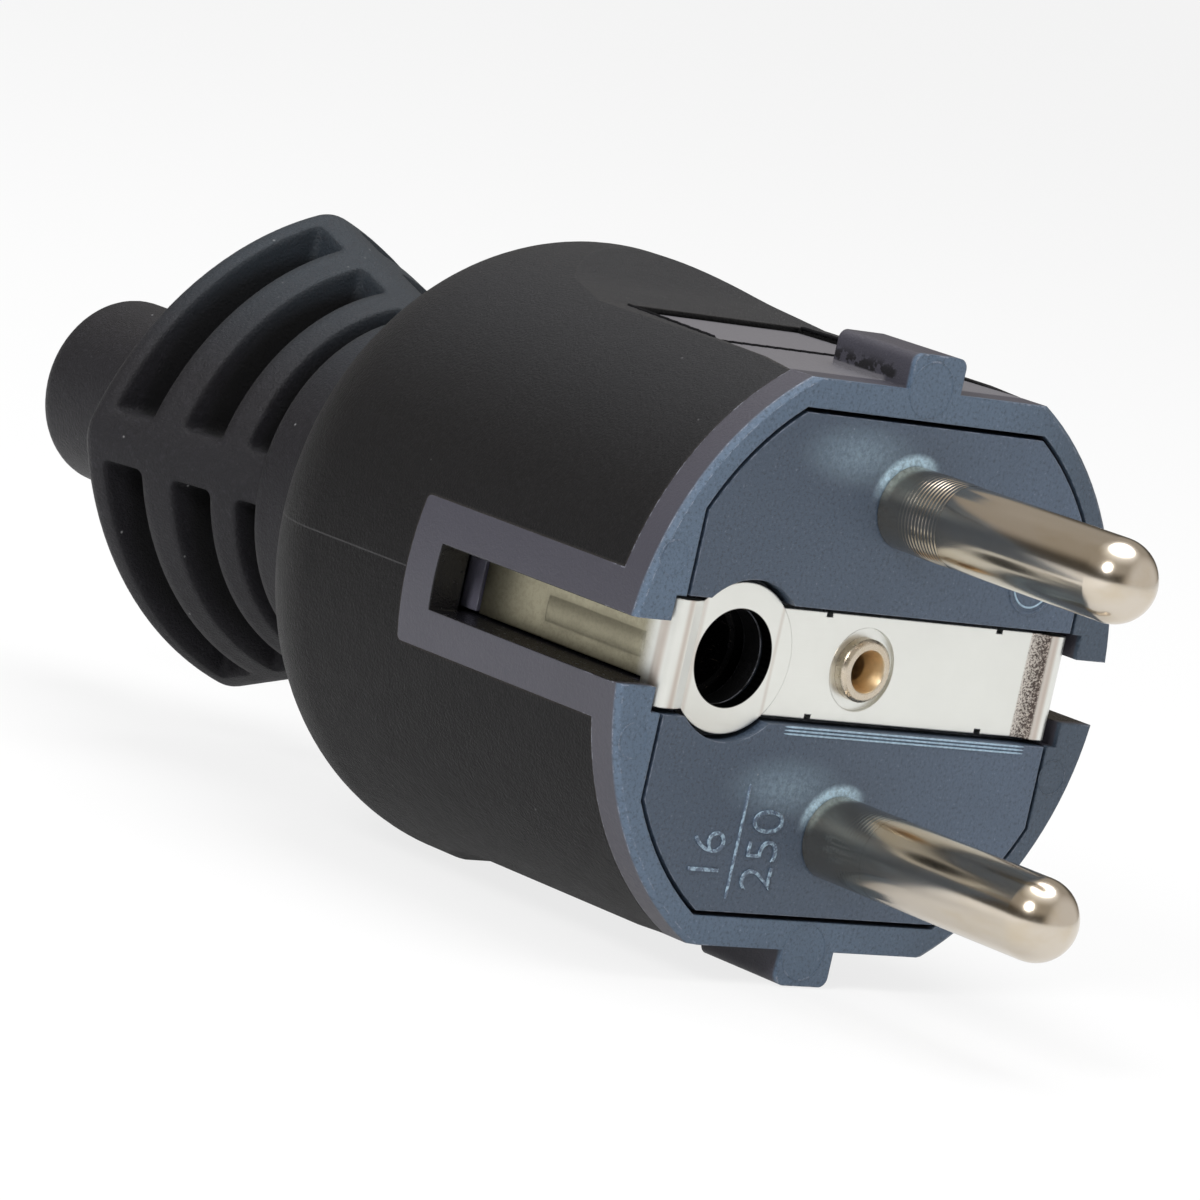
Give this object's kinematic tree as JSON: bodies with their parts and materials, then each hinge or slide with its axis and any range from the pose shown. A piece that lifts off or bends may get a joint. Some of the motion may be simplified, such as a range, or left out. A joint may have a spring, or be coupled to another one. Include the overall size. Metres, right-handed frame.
{
  "type": "type f plug",
  "caption": "Rewirable earthed mains plug with round contact pins, side and hole earth contacts, a soft grip and a slotted bend relief.",
  "frame": {"origin": "middle of the engagement face, halfway between the two pin axes, in the plane of the housing's front edge", "axes": "+X out of the face along the pins, +Z from the neutral pin to the line pin, +Y away from the earth hole"},
  "size_m": [0.0906, 0.037, 0.0367],
  "materials": {
    "grip_rubber": "matte soft-touch elastomer with a fine grain",
    "relief_rubber": "matte flexible PVC, lightly mottled",
    "housing_plastic": "dark grey thermoplastic, satin edges",
    "carrier_plastic": "dark blue-grey thermoplastic with a fine spark-eroded grain",
    "cover_plastic": "dark grey thermoplastic",
    "pin_nickel": "turned brass, bright nickel plating",
    "rivet_nickel": "nickel-plated brass, plating thin in the bore",
    "strip_nickel": "pressed strip, satin nickel plating",
    "terminal_brass": "bare brass, machined",
    "socket_brass": "brass, blackened inside and out",
    "spring_steel": "spring steel",
    "screw_steel": "zinc-plated steel"
  },
  "bodies": {
    "root": {"housing_core": "housing_plastic", "soft_grip": "grip_rubber", "contact_carrier": "carrier_plastic", "terminal_cover": "cover_plastic", "cord_clamp": "cover_plastic", "pin_line": "pin_nickel", "pin_neutral": "pin_nickel", "earth_terminal": "terminal_brass", "earth_bus": "terminal_brass", "earth_socket": "socket_brass", "earth_strip": "strip_nickel", "earth_rivet": "rivet_nickel", "socket_spring": "spring_steel", "wire_guard_line": "spring_steel", "wire_guard_neutral": "spring_steel", "wire_guard_earth": "spring_steel", "terminal_screw_line": "screw_steel", "terminal_screw_neutral": "screw_steel", "terminal_screw_earth": "screw_steel", "cover_screw_upper": "screw_steel", "cover_screw_lower": "screw_steel", "clamp_screw_upper": "screw_steel", "clamp_screw_lower": "screw_steel", "bend_relief": "relief_rubber"}
  },
  "joints": []
}
